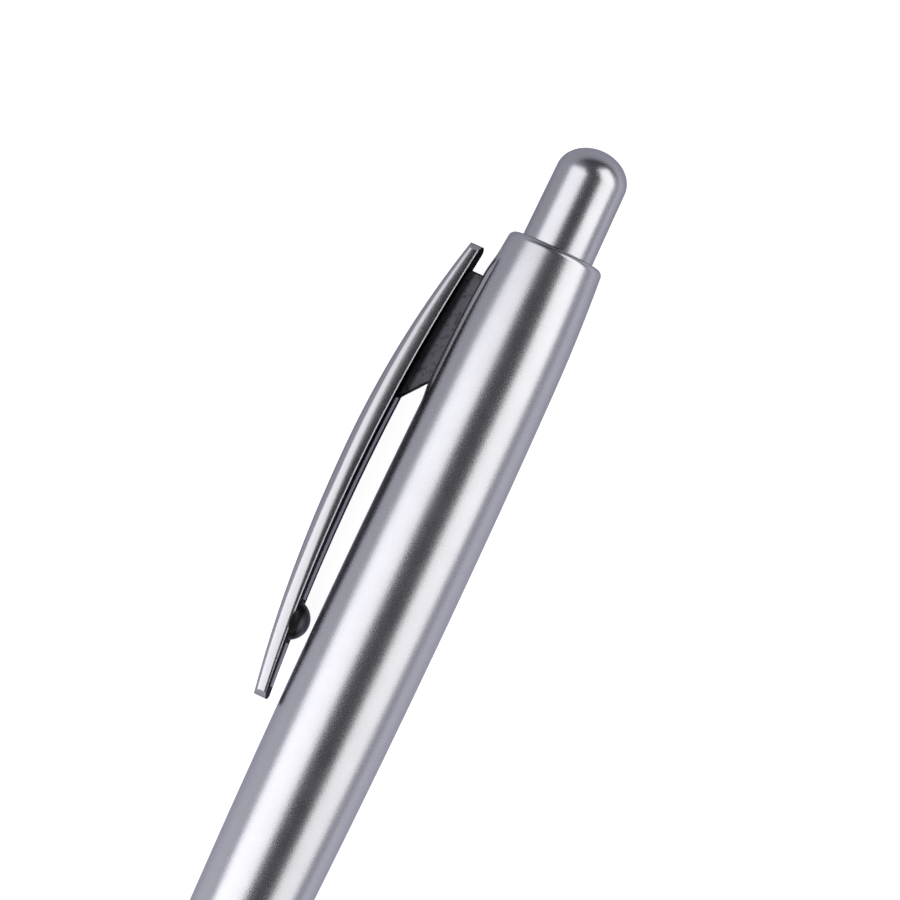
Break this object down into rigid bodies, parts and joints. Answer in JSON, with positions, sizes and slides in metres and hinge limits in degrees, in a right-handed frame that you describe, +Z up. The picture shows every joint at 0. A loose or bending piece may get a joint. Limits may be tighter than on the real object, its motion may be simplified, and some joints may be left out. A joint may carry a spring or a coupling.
{
  "type": "retractable ballpoint pen",
  "caption": "Push-button ballpoint pen of satin metal with a domed button and a solid bowed clip whose free end carries a ball.",
  "frame": {"origin": "on the table under the middle of the pen's bounding box, with the pen lying on its side", "axes": "+X along the pen from the button to the writing end, +Z up from the table; the clip is on the -Y side and leans down to the table"},
  "size_m": [0.141, 0.0148, 0.0108],
  "materials": {
    "barrel_metal": "satin",
    "clip_metal": "satin",
    "dark_metal": "satin",
    "light_plastic": "matte",
    "dark_plastic": "matte",
    "refill_plastic": "gloss",
    "ink": "gloss",
    "follower_grease": "gloss",
    "brass": "machined",
    "spring_steel": "polished"
  },
  "bodies": {
    "barrel": {"upper_barrel": "barrel_metal", "clip_root": "clip_metal", "guide_sleeve": "light_plastic", "thread_bushing": "brass"},
    "clip": {"clip_arm": "clip_metal", "clip_ball": "dark_metal"},
    "button": {"push_button": "barrel_metal", "cam_plunger": "dark_plastic"},
    "refill": {"rotor": "light_plastic", "refill_tube": "refill_plastic", "refill_point": "brass", "ink_column": "ink", "ink_follower": "follower_grease", "refill_plug": "dark_plastic", "return_spring": "spring_steel"},
    "tip_ball": {"writing_ball": "spring_steel"},
    "front": {"lower_barrel": "barrel_metal", "thread_insert": "brass", "front_liner": "light_plastic", "nose_cone": "barrel_metal"}
  },
  "joints": [
    {"name": "button_press", "type": "slide", "parent": "barrel", "child": "button", "axis": [1, 0, 0], "range_m": [0, 0.007], "stiffness_N_per_m": 350, "springref_m": -0.005},
    {"name": "refill_slide", "type": "slide", "parent": "barrel", "child": "refill", "axis": [1, 0, 0], "range_m": [0, 0.007], "deforming": ["return_spring"]},
    {"name": "clip_flex", "type": "hinge", "parent": "barrel", "child": "clip", "pos_m": [-0.0422, -0.00694, 0.00167], "axis": [0, 0.3853, -0.9228], "range_deg": [0, 5], "stiffness_Nm_per_rad": 1.8},
    {"name": "ball_roll", "type": "hinge", "parent": "refill", "child": "tip_ball", "pos_m": [0.067, 0.00199, 0.0054], "axis": [0, 1, 0], "continuous": true},
    {"name": "front_pull_off", "type": "slide", "parent": "barrel", "child": "front", "axis": [1, 0, 0], "range_m": [0, 0.075]}
  ],
  "couplings": [
    {"joint": "refill_slide", "follows": "button_press", "ratio": 1}
  ]
}
